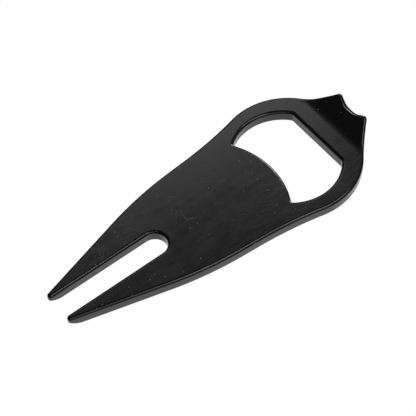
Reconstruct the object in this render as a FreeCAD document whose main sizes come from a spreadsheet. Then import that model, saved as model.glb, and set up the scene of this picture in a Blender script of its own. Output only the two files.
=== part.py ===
import FreeCAD, Part
import math
import os
import Sketcher

# A one-piece metal divot repair tool: two tapering prongs with rounded toes, a flat body, a
# ring with a bottle-opener eye, and a bent grip-rest lip, all one casting.  Stations run along
# the tool from the prong tips (x = 0) to the horns of the lip (x = length); y is across the
# tool and z is up from the flat underside.  The body's placement moves mid-length to the origin.

DIMENSIONS = {
    "length": 99.4,
    "thickness": 3.8,
    "rim_radius": 0.83,
    # prongs and the slot between them
    "slot_width": 6.8,
    "slot_depth": 34.3,
    "tip_radius": 0.88,
    "prong_flare": 15.35,
    "toe_length": 4.0,
    "toe_radius": 5.2,
    # straight stretch of each flank, between the shoulder and the ring
    "flank_start": 47.2,
    "flank_start_half": 15.8,
    "flank_finish": 53.8,
    "flank_finish_half": 16.3,
    # opener ring and its eye
    "ring_station": 76.9,
    "ring_radius": 19.7,
    "tongue_station": 70.45,
    "tongue_radius": 23.0,
    "tongue_root_radius": 0.6,
    "eye_side_station": 75.7,
    "eye_side_offset": 1.0,
    "eye_side_radius": 14.1,
    "hook_station": 86.4,
    "hook_corner_radius": 1.2,
    # bent lip, its two horns and the scooped grip rest between them
    "lip_station": 92.7,
    "lip_angle": 32.0,
    "lip_bend_radius": 5.0,
    "lip_side_radius": 90.0,
    "horn_radius": 1.05,
    "horn_half": 4.85,
    "scoop_station": 98.9,
    # how far the rough blank stands out past the finished outline
    "blank_margin": 4.0,
}

START, FINISH, CENTRE = 1, 2, 3  # point numbers of a sketch curve
X_AXIS, ORIGIN_POINT = -1, 1
V = FreeCAD.Vector

doc = FreeCAD.newDocument("divot_tool")
sheet = doc.addObject("Spreadsheet::Sheet", "dims")
for row, (alias, value) in enumerate(DIMENSIONS.items(), start=1):
    sheet.set(f"A{row}", alias)
    sheet.set(f"B{row}", str(value))
    sheet.setAlias(f"B{row}", alias)
doc.recompute()


def new_sketch(body, name, role):
    """A sketch attached to the body's own origin plane with this role."""
    sketch = body.newObject("Sketcher::SketchObject", name)
    plane = next(item for item in body.Origin.OriginFeatures if item.Role == role)
    sketch.AttachmentSupport = [(plane, "")]
    sketch.MapMode = "FlatFace"
    return sketch


def add_line(sketch, start, finish):
    return sketch.addGeometry(Part.LineSegment(V(*start, 0), V(*finish, 0)))


def add_arc(sketch, centre, radius, start_deg, finish_deg):
    """A counter-clockwise arc; the angles only need to be near the solved ones."""
    circle = Part.Circle(V(*centre, 0), V(0, 0, 1), radius)
    curve = Part.ArcOfCircle(circle, math.radians(start_deg), math.radians(finish_deg))
    return sketch.addGeometry(curve)


def hollow_arc(sketch, first, second, radius):
    """An arc that curves in between two round corners, each given as (x, y, radius)."""
    reach, gap_x, gap_y = radius + first[2], second[0] - first[0], second[1] - first[1]
    gap = math.hypot(gap_x, gap_y)
    along = (reach**2 - (radius + second[2]) ** 2 + gap**2) / (2 * gap)
    across = math.sqrt(reach**2 - along**2)
    centre = (first[0] + (along * gap_x - across * gap_y) / gap,
              first[1] + (along * gap_y + across * gap_x) / gap)
    angles = [math.degrees(math.atan2(corner[1] - centre[1], corner[0] - centre[0]))
              for corner in (first, second)]
    return add_arc(sketch, centre, radius, *angles)


def join(sketch, kind, *ends):
    sketch.addConstraint(Sketcher.Constraint(kind, *ends))


def drive(sketch, name, formula, kind, *where, near):
    """A dimension of the sketch, named and driven from the sheet."""
    index = sketch.addConstraint(Sketcher.Constraint(kind, *where, near))
    sketch.renameConstraint(index, name)
    sketch.setExpression(f"Constraints.{name}", formula)


def drive_point(sketch, name, x_formula, y_formula, curve, end, near):
    """Both coordinates of a curve's point; a formula of None leaves one on the x axis."""
    anchor = (X_AXIS, ORIGIN_POINT, curve, end)
    drive(sketch, name + "_x", x_formula, "DistanceX", *anchor, near=near[0])
    if y_formula is None:
        join(sketch, "PointOnObject", curve, end, X_AXIS)
    else:
        drive(sketch, name + "_y", y_formula, "DistanceY", *anchor, near=near[1])


def plate_profile(body, d):
    """The plate seen from the side: flat from the tips, then bent up along one line."""
    sketch = new_sketch(body, "plate_profile", "XZ_Plane")
    tilt = math.radians(d["lip_angle"])
    left, right = -d["blank_margin"], d["length"] + d["blank_margin"]
    bend_x = d["lip_station"] - d["lip_bend_radius"] * math.tan(tilt / 2)
    bend_z = d["thickness"] + d["lip_bend_radius"]
    under_radius = d["lip_bend_radius"] + d["thickness"]

    def bend_end(radius):
        return (bend_x + radius * math.sin(tilt), bend_z - radius * math.cos(tilt))

    def slope_end(start):
        return (right, start[1] + (right - start[0]) * math.tan(tilt))

    under_end, top_end = bend_end(under_radius), bend_end(d["lip_bend_radius"])
    floor = add_line(sketch, (left, 0), (bend_x, 0))
    under_bend = add_arc(sketch, (bend_x, bend_z), under_radius, 270, 270 + d["lip_angle"])
    under_slope = add_line(sketch, under_end, slope_end(under_end))
    front = add_line(sketch, slope_end(under_end), slope_end(top_end))
    top_slope = add_line(sketch, slope_end(top_end), top_end)
    top_bend = add_arc(
        sketch, (bend_x, bend_z), d["lip_bend_radius"], 270, 270 + d["lip_angle"])
    deck = add_line(sketch, (bend_x, d["thickness"]), (left, d["thickness"]))
    back = add_line(sketch, (left, d["thickness"]), (left, 0))

    join(sketch, "Tangent", floor, FINISH, under_bend, START)
    join(sketch, "Tangent", under_bend, FINISH, under_slope, START)
    join(sketch, "Coincident", under_slope, FINISH, front, START)
    join(sketch, "Coincident", front, FINISH, top_slope, START)
    join(sketch, "Tangent", top_slope, FINISH, top_bend, FINISH)
    join(sketch, "Tangent", top_bend, START, deck, START)
    join(sketch, "Coincident", deck, FINISH, back, START)
    join(sketch, "Coincident", back, FINISH, floor, START)
    join(sketch, "Coincident", under_bend, CENTRE, top_bend, CENTRE)
    join(sketch, "Horizontal", deck)
    join(sketch, "Vertical", back)
    join(sketch, "Vertical", front)

    drive_point(sketch, "blank_back", "-dims.blank_margin", None, floor, START, near=(left, 0))
    drive(sketch, "thickness", "dims.thickness", "DistanceY", back, FINISH, back, START,
          near=d["thickness"])
    drive_point(sketch, "bend_centre",
                "dims.lip_station - dims.lip_bend_radius * tan(dims.lip_angle / 2)",
                "dims.thickness + dims.lip_bend_radius", top_bend, CENTRE,
                near=(bend_x, bend_z))
    drive(sketch, "lip_angle", "dims.lip_angle", "Angle", under_slope, near=tilt)
    drive(sketch, "blank_front", "dims.length + dims.blank_margin", "DistanceX",
          X_AXIS, ORIGIN_POINT, front, START, near=right)
    return sketch


def trim_outline(body, d):
    """The waste beside one half of the tool, from the slot round to the grip-rest scoop."""
    sketch = new_sketch(body, "trim_outline", "XY_Plane")
    slot_half = d["slot_width"] / 2
    slot_arc = add_arc(sketch, (d["slot_depth"] - slot_half, 0), slot_half, 0, 90)
    slot_side = add_line(
        sketch, (d["slot_depth"] - slot_half, slot_half), (d["tip_radius"], slot_half))
    tip = add_arc(
        sketch, (d["tip_radius"], slot_half + d["tip_radius"]), d["tip_radius"],
        90 + d["prong_flare"], 270)
    prong = add_line(sketch, (1, slot_half + 2), (25, slot_half + 8))
    shoulder = add_arc(sketch, (39, -84), 100, 94, 90 + d["prong_flare"])
    flank_ends = [
        (d["flank_start"], d["flank_start_half"]), (d["flank_finish"], d["flank_finish_half"])]
    flank = add_line(sketch, *flank_ends)
    blend = add_arc(sketch, (46, 113), 97, 274, 286)
    ring = add_arc(sketch, (d["ring_station"], 0), d["ring_radius"], 38, 106)
    horn_centre = (d["length"] - d["horn_radius"], d["horn_half"])
    lip_side = hollow_arc(sketch, (d["ring_station"], 0, d["ring_radius"]),
                          (*horn_centre, d["horn_radius"]), d["lip_side_radius"])
    horn = add_arc(sketch, horn_centre, d["horn_radius"], -30, 49)
    scoop = add_arc(sketch, (d["scoop_station"] + 22, 0), 22, 168, 180)
    left, right = -d["blank_margin"], d["length"] + d["blank_margin"]
    side = d["ring_radius"] + d["blank_margin"]
    corners = [(d["scoop_station"], 0), (right, 0), (right, side), (left, side), (left, 0),
               (d["slot_depth"], 0)]
    waste = [add_line(sketch, *ends) for ends in zip(corners, corners[1:])]

    join(sketch, "Tangent", slot_arc, FINISH, slot_side, START)
    join(sketch, "Tangent", slot_side, FINISH, tip, FINISH)
    join(sketch, "Tangent", tip, START, prong, START)
    join(sketch, "Tangent", prong, FINISH, shoulder, FINISH)
    join(sketch, "Tangent", shoulder, START, flank, START)
    join(sketch, "Tangent", flank, FINISH, blend, START)
    join(sketch, "Tangent", blend, FINISH, ring, FINISH)
    join(sketch, "Tangent", ring, START, lip_side, START)
    join(sketch, "Tangent", lip_side, FINISH, horn, FINISH)
    join(sketch, "Tangent", horn, START, scoop, START)
    join(sketch, "Coincident", scoop, FINISH, waste[0], START)
    for this, following in zip(waste, waste[1:]):
        join(sketch, "Coincident", this, FINISH, following, START)
    join(sketch, "Coincident", waste[-1], FINISH, slot_arc, START)
    for edge, direction in zip(waste, ("Horizontal", "Vertical") * 2):
        join(sketch, direction, edge)
    join(sketch, "Horizontal", slot_side)
    join(sketch, "PointOnObject", slot_arc, CENTRE, X_AXIS)
    join(sketch, "PointOnObject", scoop, CENTRE, X_AXIS)

    drive(sketch, "slot_radius", "dims.slot_width / 2", "Radius", slot_arc, near=slot_half)
    drive_point(sketch, "slot_bottom", "dims.slot_depth", None, slot_arc, START,
                near=(d["slot_depth"], 0))
    drive(sketch, "tip_radius", "dims.tip_radius", "Radius", tip, near=d["tip_radius"])
    drive(sketch, "tip_x", "dims.tip_radius", "DistanceX", X_AXIS, ORIGIN_POINT, tip, CENTRE,
          near=d["tip_radius"])
    drive(sketch, "prong_flare", "dims.prong_flare", "Angle", prong,
          near=math.radians(d["prong_flare"]))
    drive_point(sketch, "flank_start", "dims.flank_start", "dims.flank_start_half",
                flank, START, near=flank_ends[0])
    drive_point(sketch, "flank_finish", "dims.flank_finish", "dims.flank_finish_half",
                flank, FINISH, near=flank_ends[1])
    drive_point(sketch, "ring_centre", "dims.ring_station", None, ring, CENTRE,
                near=(d["ring_station"], 0))
    drive(sketch, "ring_radius", "dims.ring_radius", "Radius", ring, near=d["ring_radius"])
    drive(sketch, "lip_side_radius", "dims.lip_side_radius", "Radius", lip_side,
          near=d["lip_side_radius"])
    drive_point(sketch, "horn_centre", "dims.length - dims.horn_radius", "dims.horn_half",
                horn, CENTRE, near=horn_centre)
    drive(sketch, "horn_radius", "dims.horn_radius", "Radius", horn, near=d["horn_radius"])
    drive_point(sketch, "scoop_bottom", "dims.scoop_station", None, scoop, FINISH,
                near=(d["scoop_station"], 0))
    drive_point(sketch, "waste_corner", "dims.length + dims.blank_margin",
                "dims.ring_radius + dims.blank_margin", waste[1], FINISH, near=(right, side))
    drive_point(sketch, "waste_back", "-dims.blank_margin", None, waste[3], FINISH,
                near=(left, 0))
    return sketch


def eye_outline(body, d):
    """The opener eye: a tongue arc, two bowed sides, the straight hook edge, round corners."""
    sketch = new_sketch(body, "eye_outline", "XY_Plane")
    side_x, side_y = d["eye_side_station"], d["eye_side_offset"]
    side_radius, corner_radius = d["eye_side_radius"], d["hook_corner_radius"]
    corner_x = d["hook_station"] - corner_radius
    corner_y = side_y + math.sqrt((side_radius - corner_radius) ** 2 - (corner_x - side_x) ** 2)
    root_x, root_y = side_x - side_radius * 0.6, side_y + side_radius * 0.78

    tongue = add_arc(
        sketch, (d["tongue_station"] - d["tongue_radius"], 0), d["tongue_radius"], -30, 30)
    hook = add_line(sketch, (d["hook_station"], -corner_y), (d["hook_station"], corner_y))
    far_root = add_arc(sketch, (root_x, root_y), d["tongue_root_radius"], 128, 211)
    far_side = add_arc(sketch, (side_x, side_y), side_radius, 42, 128)
    far_corner = add_arc(sketch, (corner_x, corner_y), corner_radius, 0, 42)
    near_corner = add_arc(sketch, (corner_x, -corner_y), corner_radius, -42, 0)
    near_side = add_arc(sketch, (side_x, -side_y), side_radius, -128, -42)
    near_root = add_arc(sketch, (root_x, -root_y), d["tongue_root_radius"], -211, -128)

    join(sketch, "Tangent", tongue, FINISH, far_root, FINISH)
    join(sketch, "Tangent", far_root, START, far_side, FINISH)
    join(sketch, "Tangent", far_side, START, far_corner, FINISH)
    join(sketch, "Tangent", far_corner, START, hook, FINISH)
    join(sketch, "Tangent", hook, START, near_corner, FINISH)
    join(sketch, "Tangent", near_corner, START, near_side, FINISH)
    join(sketch, "Tangent", near_side, START, near_root, FINISH)
    join(sketch, "Tangent", near_root, START, tongue, START)
    join(sketch, "PointOnObject", tongue, CENTRE, X_AXIS)
    join(sketch, "Symmetric", far_side, CENTRE, near_side, CENTRE, X_AXIS)
    for far, near in ((far_side, near_side), (far_root, near_root), (far_corner, near_corner)):
        join(sketch, "Equal", far, near)

    drive(sketch, "tongue_radius", "dims.tongue_radius", "Radius", tongue,
          near=d["tongue_radius"])
    drive(sketch, "tongue_centre", "dims.tongue_station - dims.tongue_radius", "DistanceX",
          X_AXIS, ORIGIN_POINT, tongue, CENTRE, near=d["tongue_station"] - d["tongue_radius"])
    drive(sketch, "side_radius", "dims.eye_side_radius", "Radius", far_side, near=side_radius)
    drive_point(sketch, "side_centre", "dims.eye_side_station", "dims.eye_side_offset",
                far_side, CENTRE, near=(side_x, side_y))
    drive(sketch, "root_radius", "dims.tongue_root_radius", "Radius", far_root,
          near=d["tongue_root_radius"])
    drive(sketch, "corner_radius", "dims.hook_corner_radius", "Radius", far_corner,
          near=corner_radius)
    drive(sketch, "hook", "dims.hook_station", "DistanceX", X_AXIS, ORIGIN_POINT, hook, START,
          near=d["hook_station"])
    return sketch


def toe_outline(body, d):
    """The waste below the rounded toes of the prongs, seen from the side."""
    sketch = new_sketch(body, "toe_outline", "XZ_Plane")
    length, radius, margin = d["toe_length"], d["toe_radius"], d["blank_margin"]
    toe = add_arc(sketch, (length, radius), radius, 180, 270)
    corners = [(length, 0), (length, -margin), (-margin, -margin), (-margin, radius),
               (length - radius, radius)]
    waste = [add_line(sketch, *ends) for ends in zip(corners, corners[1:])]

    join(sketch, "Coincident", toe, FINISH, waste[0], START)
    for this, following in zip(waste, waste[1:]):
        join(sketch, "Coincident", this, FINISH, following, START)
    join(sketch, "Coincident", waste[-1], FINISH, toe, START)
    for edge, heading in zip(waste, ("Vertical", "Horizontal") * 2):
        join(sketch, heading, edge)
    join(sketch, "Vertical", toe, FINISH, toe, CENTRE)

    drive(sketch, "toe_radius", "dims.toe_radius", "Radius", toe, near=radius)
    drive_point(sketch, "toe_bottom", "dims.toe_length", None, toe, FINISH, near=(length, 0))
    drive(sketch, "toe_top", "dims.toe_radius", "DistanceY", X_AXIS, ORIGIN_POINT, toe, START,
          near=radius)
    drive_point(sketch, "waste_corner", "-dims.blank_margin", "-dims.blank_margin",
                waste[1], FINISH, near=(-margin, -margin))
    return sketch


def cut_through(body, name, sketch):
    """A pocket through the whole plate, checked by the volume that it takes away."""
    before = body.Shape.Volume
    pocket = body.newObject("PartDesign::Pocket", name)
    pocket.Profile = sketch
    pocket.Type = "ThroughAll"
    pocket.SideType = "Symmetric"
    doc.recompute()
    if pocket.Shape.Volume >= before:
        raise RuntimeError(f"{name} cuts nothing")
    return pocket


def is_level(face, point):
    """True where a face looks up or down more than sideways."""
    u, v = face.Surface.parameter(point)
    return abs(face.normalAt(u, v).z) > 0.5


def rim_edges(shape):
    """Names of the edges between an upright wall and a level or sloping face."""
    names = []
    for index, edge in enumerate(shape.Edges, start=1):
        middle = edge.valueAt((edge.FirstParameter + edge.LastParameter) / 2)
        faces = shape.ancestorsOfType(edge, Part.Face)
        if sum(is_level(face, middle) for face in faces) == 1:
            names.append(f"Edge{index}")
    return names


def tool_body(d):
    body = doc.addObject("PartDesign::Body", "tool_body")
    body.Label = "tool_body"
    doc.recompute()

    plate = body.newObject("PartDesign::Pad", "plate")
    plate.Profile = plate_profile(body, d)
    plate.SideType = "Symmetric"
    plate.setExpression("Length", "2 * (dims.ring_radius + dims.blank_margin)")
    doc.recompute()

    trim = cut_through(body, "trim", trim_outline(body, d))
    mirror = body.newObject("PartDesign::Mirrored", "trim_mirror")
    mirror.Originals = [trim]
    plane = next(item for item in body.Origin.OriginFeatures if item.Role == "XZ_Plane")
    mirror.MirrorPlane = (plane, [""])
    body.Tip = mirror
    doc.recompute()

    eye = cut_through(body, "eye", eye_outline(body, d))
    rims = body.newObject("PartDesign::Fillet", "rims")
    rims.Base = (eye, rim_edges(eye.Shape))
    rims.setExpression("Radius", "dims.rim_radius")
    doc.recompute()

    cut_through(body, "toes", toe_outline(body, d))
    body.setExpression("Placement.Base.x", "-dims.length / 2")
    return body


parts = [tool_body(DIMENSIONS)]
doc.recompute()

for item in doc.Objects:
    if {"Invalid", "Error"} & set(item.State):
        raise RuntimeError(f"{item.Name} failed: {item.State}")
os.makedirs("parts", exist_ok=True)
for part in parts:
    shape = part.Shape
    if shape.isNull() or not shape.isValid() or len(shape.Solids) != 1:
        raise RuntimeError(f"{part.Label} is not one sound solid")
    box = shape.optimalBoundingBox(True, False)
    print(f"{part.Label}: {shape.Volume:.0f} mm3, x {box.XMin:.2f}..{box.XMax:.2f}, "
          f"y {box.YMin:.2f}..{box.YMax:.2f}, z {box.ZMin:.2f}..{box.ZMax:.2f}")
    shape.exportStep(f"parts/{part.Label}.step")
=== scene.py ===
import math

import bmesh
import bpy
import numpy as np
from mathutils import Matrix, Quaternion, Vector
from mathutils.geometry import delaunay_2d_cdt


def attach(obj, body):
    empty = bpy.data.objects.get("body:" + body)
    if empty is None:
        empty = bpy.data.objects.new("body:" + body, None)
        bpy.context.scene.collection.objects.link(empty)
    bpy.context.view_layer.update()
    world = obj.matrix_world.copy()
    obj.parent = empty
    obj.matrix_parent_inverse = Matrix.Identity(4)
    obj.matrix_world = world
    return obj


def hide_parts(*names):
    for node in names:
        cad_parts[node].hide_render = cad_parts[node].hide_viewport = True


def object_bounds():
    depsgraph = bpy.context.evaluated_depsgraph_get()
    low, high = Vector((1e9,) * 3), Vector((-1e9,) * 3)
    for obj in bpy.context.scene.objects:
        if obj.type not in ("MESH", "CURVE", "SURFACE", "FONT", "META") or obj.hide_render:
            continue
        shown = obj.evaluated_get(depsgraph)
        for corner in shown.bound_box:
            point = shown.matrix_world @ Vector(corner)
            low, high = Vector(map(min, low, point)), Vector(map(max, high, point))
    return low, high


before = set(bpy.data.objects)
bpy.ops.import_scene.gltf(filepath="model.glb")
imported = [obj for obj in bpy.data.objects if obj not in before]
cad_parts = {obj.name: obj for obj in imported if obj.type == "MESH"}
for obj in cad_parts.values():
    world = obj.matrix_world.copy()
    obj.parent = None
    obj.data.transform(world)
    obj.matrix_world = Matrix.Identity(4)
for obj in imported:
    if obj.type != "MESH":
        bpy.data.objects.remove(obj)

cad_low, cad_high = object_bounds()
MM = 0.001
CENTRE = (cad_low + cad_high) / 2

# ---------------------------------------------------------------- the tool's dimensions
# In mm.  Stations run along the tool from the prong tips (0) to the horns of the lip.

LENGTH = 99.4
THICKNESS = 3.8
RIM_RADIUS = 0.83
# The notch's top rim is a tight crease, up to this share of the turn, and then a wide sweep.
NOTCH_CREASE, NOTCH_SWEEP, NOTCH_TURN = 0.35, 2.3, 0.4
NOTCH_UNDER = 0.5                                    # radius of the notch's lower rim
NOTCH_REACH, NOTCH_FADE = 5.1, 3.6                   # half width it reaches, and fades out over
SLOT_HALF, SLOT_DEPTH = 3.4, 34.3
TIP_RADIUS, PRONG_FLARE = 0.88, math.radians(15.35)
TOE_LENGTH, TOE_RADIUS = 4.0, 5.2
FLANK = np.array([(47.2, 15.8), (53.8, 16.3)])
RING, RING_RADIUS = np.array((76.9, 0.0)), 19.7
TONGUE, TONGUE_RADIUS, TONGUE_ROOT = 70.45, 23.0, 0.6
EYE_SIDE, EYE_SIDE_RADIUS = np.array((75.7, 1.0)), 14.1
HOOK, HOOK_CORNER = 86.4, 1.2
LIP, LIP_ANGLE, BEND_RADIUS = 92.7, math.radians(32.0), 5.0
LIP_SIDE_RADIUS = 90.0
HORN, HORN_RADIUS = np.array((98.35, 4.85)), 1.05
SCOOP = 98.9

BEND = LIP - BEND_RADIUS * math.tan(LIP_ANGLE / 2)   # where the plate starts to bend
BEND_HEIGHT = THICKNESS + BEND_RADIUS                # height of the bend's axis
STEP, MAX_TURN = 0.6, math.radians(7.5)              # spacing of points along the outline
RIM_CLEARANCE = 0.45                                 # deck points keep this far from the rims
RIM_STEPS = 10                                       # faces across a rounded rim
WALL_STEPS = 4                                       # faces up a wall between its rims


def unit(vector):
    return vector / np.linalg.norm(vector)


def arc(centre, radius, start, finish, hollow=False):
    """Points (x, y, outward x, outward y) along an arc; a hollow arc bites into the metal."""
    count = max(2, math.ceil(abs(finish - start) / min(STEP / radius, MAX_TURN)))
    angles = np.linspace(start, finish, count + 1)
    away = np.column_stack([np.cos(angles), np.sin(angles)])
    return np.hstack([np.asarray(centre) + radius * away, -away if hollow else away])


def line(start, finish):
    """Points along a straight edge with the metal on its left."""
    start, finish = np.asarray(start, float), np.asarray(finish, float)
    count = max(1, math.ceil(np.linalg.norm(finish - start) / STEP))
    along = unit(finish - start)
    where = np.linspace(0, 1, count + 1)[:, None]
    outward = np.tile([along[1], -along[0]], (count + 1, 1))
    return np.hstack([start + (finish - start) * where, outward])


def angle_to(centre, point):
    return math.atan2(point[1] - centre[1], point[0] - centre[0])


def round_corner_centre(first, reach_first, second, reach_second):
    """The point at these distances from two others, on the left going from first to second."""
    gap = np.linalg.norm(second - first)
    along = (reach_first**2 - reach_second**2 + gap**2) / (2 * gap)
    across = math.sqrt(reach_first**2 - along**2)
    heading = unit(second - first)
    return first + along * heading + across * np.array((-heading[1], heading[0]))


def touching_radius(start, normal, centre, radius):
    """Radius of the hollow arc that leaves start square to normal and touches a circle."""
    gap = start - centre
    return (gap @ gap - radius**2) / (2 * (radius - gap @ normal))


def whole_loop(half):
    """A closed outline from its far half, mirrored across the tool's middle line."""
    points = [half[0][0]]
    for piece in half:
        points.extend(piece[1:])
    points = np.array(points)
    points[[0, -1], 1] = points[[0, -1], 3] = 0.0
    return np.vstack([points, points[-2:0:-1] * (1, -1, 1, -1)])


def outer_outline():
    """The tool's outside edge: notch, horn, lip, ring, flank, prong and slot."""
    along = unit(FLANK[1] - FLANK[0])
    flank_out = np.array((-along[1], along[0]))
    prong_out = np.array((-math.sin(PRONG_FLARE), math.cos(PRONG_FLARE)))
    prong_along = np.array((math.cos(PRONG_FLARE), math.sin(PRONG_FLARE)))
    tip = np.array((TIP_RADIUS, SLOT_HALF + TIP_RADIUS))

    scoop_radius = touching_radius(np.array((SCOOP, 0.0)), np.array((1.0, 0.0)), HORN, HORN_RADIUS)
    scoop = np.array((SCOOP + scoop_radius, 0.0))
    lip_side = round_corner_centre(RING, LIP_SIDE_RADIUS + RING_RADIUS,
                                   HORN, LIP_SIDE_RADIUS + HORN_RADIUS)
    blend_radius = touching_radius(FLANK[1], flank_out, RING, RING_RADIUS)
    blend = FLANK[1] + blend_radius * flank_out

    prong_start = tip + TIP_RADIUS * prong_out
    turn = np.column_stack([prong_along, -along])
    reach = np.linalg.solve(turn, FLANK[0] - prong_start)
    corner = prong_start + reach[0] * prong_along
    tangent = np.linalg.norm(FLANK[0] - corner)
    shoulder_end = corner - tangent * prong_along
    bend = math.acos(np.clip(along @ prong_along, -1, 1))
    shoulder_radius = tangent / math.tan(bend / 2)
    shoulder = FLANK[0] - shoulder_radius * flank_out

    half = [
        arc(scoop, scoop_radius, math.pi, angle_to(scoop, HORN), hollow=True),
        arc(HORN, HORN_RADIUS, angle_to(HORN, scoop), angle_to(HORN, lip_side)),
        arc(lip_side, LIP_SIDE_RADIUS, angle_to(lip_side, HORN), angle_to(lip_side, RING), hollow=True),
        arc(RING, RING_RADIUS, angle_to(RING, lip_side), angle_to(RING, blend)),
        arc(blend, blend_radius, angle_to(blend, RING), angle_to(blend, FLANK[1]), hollow=True),
        line(FLANK[1], FLANK[0]),
        arc(shoulder, shoulder_radius, angle_to(shoulder, FLANK[0]), angle_to(shoulder, shoulder_end)),
        line(shoulder_end, prong_start),
        arc(tip, TIP_RADIUS, angle_to((0, 0), prong_out), 1.5 * math.pi),
        line((TIP_RADIUS, SLOT_HALF), (SLOT_DEPTH - SLOT_HALF, SLOT_HALF)),
        arc((SLOT_DEPTH - SLOT_HALF, 0.0), SLOT_HALF, math.pi / 2, 0, hollow=True),
    ]
    return whole_loop(half)


def eye_outline():
    """The opener eye: tongue, rounded side, corner and straight hook edge."""
    tongue = np.array((TONGUE - TONGUE_RADIUS, 0.0))
    root = round_corner_centre(tongue, TONGUE_RADIUS + TONGUE_ROOT,
                               EYE_SIDE, EYE_SIDE_RADIUS - TONGUE_ROOT)
    corner_x = HOOK - HOOK_CORNER
    rise = math.sqrt((EYE_SIDE_RADIUS - HOOK_CORNER) ** 2 - (corner_x - EYE_SIDE[0]) ** 2)
    corner = np.array((corner_x, EYE_SIDE[1] + rise))
    half = [
        arc(tongue, TONGUE_RADIUS, 0, angle_to(tongue, root)),
        arc(root, TONGUE_ROOT, angle_to(root, tongue) + 2 * math.pi, angle_to(EYE_SIDE, root),
            hollow=True),
        arc(EYE_SIDE, EYE_SIDE_RADIUS, angle_to(EYE_SIDE, root), angle_to(EYE_SIDE, corner),
            hollow=True),
        arc(corner, HOOK_CORNER, angle_to(EYE_SIDE, corner), 0, hollow=True),
        line((HOOK, corner[1]), (HOOK, 0.0)),
    ]
    return whole_loop(half)


def skin(station, inset, side):
    """Height and outward (x, z) of the top (side 1) or underside (-1), moved in by inset."""
    if side < 0 and station < TOE_LENGTH:
        radius = TOE_RADIUS - inset
        height = TOE_RADIUS - math.sqrt(radius**2 - (TOE_LENGTH - station) ** 2)
        return height, ((station - TOE_LENGTH) / radius, (height - TOE_RADIUS) / radius)
    radius = BEND_RADIUS + inset if side > 0 else BEND_HEIGHT - inset
    past = station - BEND
    if past <= 0:
        return BEND_HEIGHT - radius, (0.0, float(side))
    reach = min(past, radius * math.sin(LIP_ANGLE))
    drop = math.sqrt(radius**2 - reach**2)
    height = BEND_HEIGHT - drop + (past - reach) * math.tan(LIP_ANGLE)
    return height, (-side * reach / radius, side * drop / radius)


def rim(place, side, notch):
    """Points and normals across a rim, from the skin to the wall.

    The rim is a rolling ball's track.  In the notch it is a small ball and then a large one.
    """
    x, y, out_x, out_y = place
    crease = RIM_RADIUS + ((NOTCH_CREASE if side > 0 else NOTCH_UNDER) - RIM_RADIUS) * notch
    sweep = RIM_RADIUS + ((NOTCH_SWEEP if side > 0 else NOTCH_UNDER) - RIM_RADIUS) * notch
    middle = (x - sweep * out_x, y - sweep * out_y)
    height, (skin_x, skin_z) = skin(middle[0], RIM_RADIUS, side)
    level, upright = np.array((skin_x, 0.0, skin_z)), np.array((out_x, out_y, 0.0))
    turn = math.acos(np.clip(level @ upright, -1, 1))

    def heading(share):
        return unit(level * math.sin((1 - share) * turn) + upright * math.sin(share * turn))

    handover = (sweep - crease) * heading(NOTCH_TURN)
    if notch > 0:
        height = skin(middle[0], 0.0, side)[0] - (crease + handover @ level) / skin_z
    ball = np.array((*middle, height))
    points = []
    for share in np.linspace(0, 1, RIM_STEPS + 1):
        normal = heading(share)
        point = ball + sweep * normal if share > NOTCH_TURN else ball + handover + crease * normal
        points.append((point, normal))
    return points


class Shell:
    """Vertices with their own normals, and faces between them."""

    def __init__(self):
        self.points, self.normals, self.faces = [], [], []

    def add(self, point, normal):
        self.points.append(point)
        self.normals.append(normal)
        return len(self.points) - 1

    def wall(self, outline, notch):
        """The upright edge along an outline with both its rounded rims; returns the end rows."""
        rows = []
        for place, share in zip(outline, notch):
            column = [rim(place, -1, share), rim(place, 1, share)]
            low, high = column[0][-1], column[1][-1]
            between = [(low[0] + (high[0] - low[0]) * k / WALL_STEPS, low[1])
                       for k in range(1, WALL_STEPS)]
            rows.append([self.add(*item) for item in column[0] + between + column[1][::-1]])
        for this, following in zip(rows, rows[1:] + rows[:1]):
            for k in range(len(this) - 1):
                self.faces.append((this[k], following[k], following[k + 1], this[k + 1]))
        return [row[0] for row in rows], [row[-1] for row in rows]

    def deck(self, loops, side):
        """The top or underside between the inner ends of the rims."""
        rims = [np.array([self.points[k][:2] for k in loop]) for loop in loops]
        spots = spread_points(rims)
        fixed = [k for loop in loops for k in loop]
        edges, start = [], 0
        for loop in loops:
            edges += [(start + k, start + (k + 1) % len(loop)) for k in range(len(loop))]
            start += len(loop)
        for x, y in spots:
            height, (skin_x, skin_z) = skin(x, 0.0, side)
            fixed.append(self.add(np.array((x, y, height)), np.array((skin_x, 0.0, skin_z))))
        flat = [Vector(self.points[k][:2]) for k in fixed]
        _, _, triangles, sources, _, _ = delaunay_2d_cdt(flat, edges, [], 0, 1e-6)
        triangles = [[sources[k][0] for k in triangle] for triangle in triangles]
        for triangle in flood(triangles, edges):
            corners = [fixed[k] for k in triangle]
            self.faces.append(tuple(corners if side > 0 else corners[::-1]))


def flood(triangles, edges):
    """The triangles on the left of the outlines' edges, spread to all those joined to them."""
    owner = {(t[k], t[(k + 1) % 3]): index for index, t in enumerate(triangles) for k in range(3)}
    walls = set(edges) | {edge[::-1] for edge in edges}
    waiting = [owner[edge] for edge in edges]
    kept = set(waiting)
    while waiting:
        triangle = triangles[waiting.pop()]
        for k in range(3):
            edge = (triangle[k], triangle[(k + 1) % 3])
            beyond = owner.get(edge[::-1])
            if edge not in walls and beyond not in kept:
                kept.add(beyond)
                waiting.append(beyond)
    return [triangles[index] for index in sorted(kept)]


def in_metal(points, loops):
    """True for the points inside the first loop and outside the others."""
    inside = np.zeros(len(points), bool)
    for loop in loops:
        for (x0, y0), (x1, y1) in zip(loop, np.roll(loop, -1, axis=0)):
            if y0 != y1:
                crossing = (points[:, 1] > y0) != (points[:, 1] > y1)
                inside ^= crossing & (points[:, 0] < x0 + (points[:, 1] - y0) * (x1 - x0) / (y1 - y0))
    return inside


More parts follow.
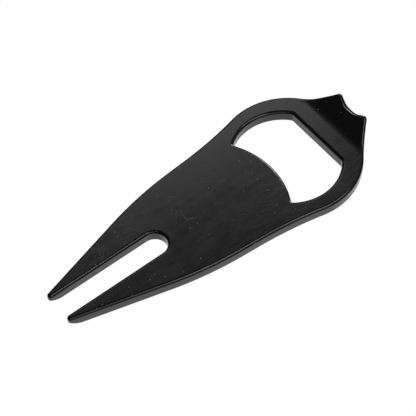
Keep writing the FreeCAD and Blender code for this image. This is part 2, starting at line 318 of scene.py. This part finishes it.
def spread_points(loops):
    """Points over a deck: an even grid, finer along the toes and through the bend."""
    bend_end = BEND + BEND_HEIGHT * math.sin(LIP_ANGLE)
    stations = np.concatenate([np.arange(0.8, 4.5, 0.5), np.arange(5.5, BEND - 0.5, 1.3),
                               np.arange(BEND, bend_end, 0.3), np.arange(bend_end + 0.5, LENGTH, 1.0)])
    grid = np.array([(x, y) for x in stations for y in np.arange(-19.5, 19.6, 1.3)])
    rim = np.vstack(loops)
    clear = np.array([((rim - spot) ** 2).sum(axis=1).min() > RIM_CLEARANCE**2 for spot in grid])
    grid = grid[clear]
    return grid[in_metal(grid, loops)]


def notch_share(outline):
    """1 along the grip-rest notch, fading to 0 on its horns and everywhere else."""
    share = np.clip((NOTCH_REACH - np.abs(outline[:, 1])) / NOTCH_FADE, 0, 1) * (outline[:, 0] > LIP)
    return share**2 * (3 - 2 * share)


def tool_mesh():
    """The whole tool as one closed mesh, in metres and inside the CAD box."""
    shell = Shell()
    outer, eye = outer_outline(), eye_outline()
    outer_low, outer_high = shell.wall(outer, notch_share(outer))
    eye_low, eye_high = shell.wall(eye, np.zeros(len(eye)))
    shell.deck([outer_high, eye_high], 1)
    shell.deck([outer_low, eye_low], -1)

    corner = np.array((cad_low.x, CENTRE.y, cad_low.z))
    mesh = bpy.data.meshes.new("tool")
    points = np.clip(corner + np.array(shell.points) * MM, cad_low, cad_high)
    mesh.from_pydata(points.tolist(), [], shell.faces)
    shape = bmesh.new()
    shape.from_mesh(mesh)
    shape.normal_update()
    flats = [face for face in shape.faces if len(face.verts) == 3]
    bmesh.ops.join_triangles(shape, faces=flats, angle_face_threshold=0.2, angle_shape_threshold=0.6)
    shape.to_mesh(mesh)
    shape.free()
    mesh.shade_smooth()
    mesh.normals_split_custom_set_from_vertices(np.array(shell.normals).tolist())
    return mesh


# The view: the tool lies with its prongs to the lower left and its lip to the upper right.
VIEW_AZIMUTH = 38.88
VIEW_ELEVATION = 54.70
VIEW_DISTANCE = 451.9 * MM
LENS = 149.45
AIM_OFFSET = Vector((-1.1, 0.0, 3.8)) * MM

# The stage, in metres.  The floor lies just below the tool, so the two never share a plane.
LIGHT_DISTANCE = 3.0
FLOOR_HALF, FLOOR_GAP = 3.0, 0.00005
CARD_HALF, CARD_DEPTH = 0.5, 0.3
WORLD_GREY = 0.065
SHEEN_AND_DUST_SPOT = (23.5, -13.0, 3.8)   # mm; the middle of the patch on the ring with extra dust specks and a faint pale film, which is painted sheen


def direction(azimuth, elevation):
    """Unit vector towards a compass direction: azimuth 0 is +Y, 90 is +X, in degrees."""
    a, e = math.radians(azimuth), math.radians(elevation)
    return Vector((math.sin(a) * math.cos(e), math.cos(a) * math.cos(e), math.sin(e)))


def point_at(obj, target):
    obj.rotation_mode = "QUATERNION"
    obj.rotation_quaternion = (target - obj.location).to_track_quat("-Z", "Y")


def link(obj):
    bpy.context.scene.collection.objects.link(obj)
    return obj


# ---------------------------------------------------------------- nodes

class Nodes:
    """A short way to write a material's node tree."""

    def __init__(self, name):
        self.material = bpy.data.materials.new(name)
        self.material.use_nodes = True
        self.tree = self.material.node_tree
        self.tree.nodes.clear()

    def add(self, kind, inputs=None, **settings):
        node = self.tree.nodes.new(kind)
        for key, value in settings.items():
            setattr(node, key, value)
        for key, value in (inputs or {}).items():
            if isinstance(value, bpy.types.NodeSocket):
                self.tree.links.new(value, node.inputs[key])
            else:
                node.inputs[key].default_value = value
        return node

    def math(self, operation, first, second=0.0, clamp=False):
        node = self.add("ShaderNodeMath", {0: first, 1: second}, operation=operation, use_clamp=clamp)
        return node.outputs[0]

    def band(self, value, low, high, to_low=0.0, to_high=1.0):
        """Value from low..high spread smoothly over to_low..to_high."""
        node = self.add("ShaderNodeMapRange",
                        {"Value": value, "From Min": low, "From Max": high,
                         "To Min": to_low, "To Max": to_high},
                        interpolation_type="SMOOTHSTEP")
        return node.outputs["Result"]

    def noise(self, vector, scale, detail=2.0, roughness=0.5):
        node = self.add("ShaderNodeTexNoise",
                        {"Vector": vector, "Scale": scale, "Detail": detail, "Roughness": roughness})
        return node.outputs["Fac"]

    def brushed(self, vector, angle, scale):
        """Noise drawn out along one direction, as light brushing leaves it."""
        turned = self.add("ShaderNodeMapping",
                          {"Vector": vector, "Rotation": (0.0, 0.0, math.radians(angle)),
                           "Scale": (0.12, 1.0, 1.0)}).outputs[0]
        return self.noise(turned, scale, 4.0, 0.6)

    def hairline(self, vector, angle, spread, shift):
        """Long thin broken scratches along one direction."""
        turned = self.add("ShaderNodeMapping",
                          {"Vector": vector, "Rotation": (0.0, 0.0, math.radians(angle)),
                           "Location": (shift, shift, 0.0)}).outputs[0]
        drawn = self.add("ShaderNodeVectorMath", {0: turned, 1: (0.03, spread, 0.03)},
                         operation="MULTIPLY")
        wave = self.noise(drawn.outputs[0], 1.0, 0.0)
        off_middle = self.math("ABSOLUTE", self.math("SUBTRACT", wave, 0.5))
        line = self.band(off_middle, 0.003, 0.012, 1.0, 0.0)
        gaps = self.band(self.noise(turned, 0.11, 1.0), 0.6, 0.66)
        return self.math("MULTIPLY", line, gaps)

    def specks(self, vector, scale, radius, share):
        """Small round specks; share is how many cells stay empty."""
        cells = self.add("ShaderNodeTexVoronoi", {"Vector": vector, "Scale": scale})
        dot = self.band(cells.outputs["Distance"], radius * 0.5, radius, 1.0, 0.0)
        chance = self.add("ShaderNodeSeparateXYZ", {0: cells.outputs["Color"]}).outputs["X"]
        return self.math("MULTIPLY", dot, self.math("GREATER_THAN", chance, share))


# ---------------------------------------------------------------- materials

def coat_material():
    """Satin black coat on metal: faint mottling, hairlines, dust specks, rubbed rims, and a pale film on
    part of the ring that is painted sheen.
    """
    n = Nodes("black_coat_look")
    coords = n.add("ShaderNodeTexCoord")
    mm = n.add("ShaderNodeVectorMath", {0: coords.outputs["Object"], 3: 1.0 / MM},
               operation="SCALE").outputs[0]

    cloud = n.noise(mm, 0.09, 4.0, 0.6)
    patch = n.noise(mm, 0.35, 3.0)
    grain = n.noise(mm, 3.5, 2.0, 0.6)
    peel = n.noise(mm, 0.9, 2.0)
    streaks = n.brushed(mm, 24, 0.7)

    up = n.math("ABSOLUTE", n.add("ShaderNodeSeparateXYZ", {0: coords.outputs["Normal"]}).outputs["Z"])
    rim = n.math("MULTIPLY", n.band(up, 0.05, 0.3), n.band(up, 0.6, 0.84, 1.0, 0.0))
    rubbed = n.math("MULTIPLY", rim, n.band(patch, 0.5, 0.66))

    hairlines = n.math("MAXIMUM", n.hairline(mm, 24, 0.5, 0.0), n.hairline(mm, -58, 0.32, 40.0))
    specks = n.specks(mm, 0.5, 0.11, 0.4)
    # Around this spot the coat gets extra dust specks, and also a faint pale film. The film is painted
    # sheen that lightens this part of the ring.
    near_ring = n.add("ShaderNodeVectorMath", {0: mm, 1: SHEEN_AND_DUST_SPOT}, operation="DISTANCE")
    sheen_and_dust_patch = n.math("MULTIPLY", n.band(near_ring.outputs["Value"], 4.0, 15.0, 1.0, 0.0),
                   n.band(cloud, 0.35, 0.6))
    dust = n.math("MAXIMUM", specks, n.math("MULTIPLY", n.specks(mm, 0.9, 0.13, 0.35), sheen_and_dust_patch))
    sheen_and_hairlines = n.math("ADD", n.math("MULTIPLY", sheen_and_dust_patch, n.band(patch, 0.3, 0.7, 0.01, 0.03)),
                  n.math("MULTIPLY", hairlines, 0.035))

    pale = n.math("ADD", n.math("MULTIPLY", dust, 0.4), sheen_and_hairlines, clamp=True)
    pale = n.math("ADD", pale, n.math("MULTIPLY", rubbed, 0.02), clamp=True)
    colour = n.add("ShaderNodeMix", {0: pale, 6: (0.004, 0.004, 0.0042, 1.0), 7: (0.42, 0.41, 0.4, 1.0)},
                   data_type="RGBA").outputs[2]

    roughness = n.math("ADD", n.band(cloud, 0.3, 0.7, 0.16, 0.185),
                       n.band(patch, 0.3, 0.7, -0.012, 0.012))
    roughness = n.math("ADD", roughness, n.band(grain, 0.3, 0.7, -0.008, 0.008))
    roughness = n.math("ADD", roughness, n.band(streaks, 0.3, 0.7, -0.02, 0.02))
    roughness = n.math("ADD", roughness, n.math("MULTIPLY", n.math("MAXIMUM", hairlines, rubbed), 0.08))
    roughness = n.math("ADD", roughness, n.math("MULTIPLY", dust, 0.3))

    height = n.math("ADD", n.math("MULTIPLY", peel, 0.0005), n.math("MULTIPLY", grain, 0.00012))
    height = n.math("ADD", height, n.math("MULTIPLY", dust, 0.004))
    height = n.math("ADD", height, n.math("MULTIPLY", hairlines, -0.0012))
    bump = n.add("ShaderNodeBump", {"Height": height, "Strength": 1.0, "Distance": MM})
    shader = n.add("ShaderNodeBsdfPrincipled",
                   {"Base Color": colour, "Roughness": roughness, "Normal": bump.outputs[0], "IOR": 1.5})
    n.add("ShaderNodeOutputMaterial", {"Surface": shader.outputs[0]})
    return n.material


def glow_material(name):
    """A white glow from the upper side; clear from below, so that the underside can be seen."""
    n = Nodes(name)
    glow = n.add("ShaderNodeEmission", {"Strength": 1.0})
    clear = n.add("ShaderNodeBsdfTransparent")
    below = n.add("ShaderNodeNewGeometry").outputs["Backfacing"]
    one_sided = n.add("ShaderNodeMixShader", {0: below, 1: glow.outputs[0], 2: clear.outputs[0]})
    n.add("ShaderNodeOutputMaterial", {"Surface": one_sided.outputs[0]})
    return n.material


# ---------------------------------------------------------------- stage

def plane(name, half, depth, material):
    """A level square below the middle of the tool, so far under its flat face."""
    mesh = bpy.data.meshes.new(name)
    corners = [(-half, -half, 0), (half, -half, 0), (half, half, 0), (-half, half, 0)]
    mesh.from_pydata(corners, [], [(0, 1, 2, 3)])
    mesh.materials.append(material)
    obj = link(bpy.data.objects.new(name, mesh))
    obj.location = (CENTRE.x, CENTRE.y, cad_low.z - depth)
    return obj


def softbox(name, azimuth, elevation, width, height, radiance, aim, roll=0.0):
    """A rectangular light seen from the tool as so many degrees wide and high."""
    light = bpy.data.lights.new(name, "AREA")
    light.shape = "RECTANGLE"
    light.size = 2 * LIGHT_DISTANCE * math.tan(math.radians(width / 2))
    light.size_y = 2 * LIGHT_DISTANCE * math.tan(math.radians(height / 2))
    light.energy = radiance * math.pi * light.size * light.size_y
    obj = link(bpy.data.objects.new(name, light))
    obj.location = aim + direction(azimuth, elevation) * LIGHT_DISTANCE
    point_at(obj, aim)
    obj.rotation_quaternion = obj.rotation_quaternion @ Quaternion((0, 0, 1), math.radians(roll))


aim = Vector((CENTRE.x, CENTRE.y, cad_low.z)) + AIM_OFFSET

floor = plane("floor", FLOOR_HALF, FLOOR_GAP, glow_material("floor_white"))
floor.visible_glossy = False
card = plane("under_card", CARD_HALF, CARD_DEPTH, glow_material("card_white"))
card.visible_camera = False
card.visible_diffuse = False
card.visible_shadow = False

softbox("back_box", 38, 45.4, 22, 13, 2.1, aim, roll=22)
softbox("ceiling_box", 40, 62, 28, 20, 0.105, aim)
softbox("left_box", 2, 42, 14, 24, 0.25, aim)
softbox("right_box", 95, 42, 40, 34, 0.2, aim)
softbox("key_box", 149, 51, 40, 10, 6.0, aim)
softbox("front_box", 190, 28, 50, 56, 0.55, aim)
softbox("notch_box", 60, 28, 9, 18, 14.0, aim)

world = bpy.data.worlds.new("studio")
world.use_nodes = True
world.node_tree.nodes["Background"].inputs["Color"].default_value = (*[WORLD_GREY] * 3, 1.0)
bpy.context.scene.world = world

camera = link(bpy.data.objects.new("camera", bpy.data.cameras.new("camera")))
camera.data.lens = LENS
camera.location = aim - direction(VIEW_AZIMUTH, -VIEW_ELEVATION) * VIEW_DISTANCE
point_at(camera, aim)
bpy.context.scene.camera = camera
bpy.context.scene.view_settings.view_transform = "Standard"

tool = link(bpy.data.objects.new("tool", tool_mesh()))
tool.data.materials.append(coat_material())
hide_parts("tool_body")
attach(tool, "root")
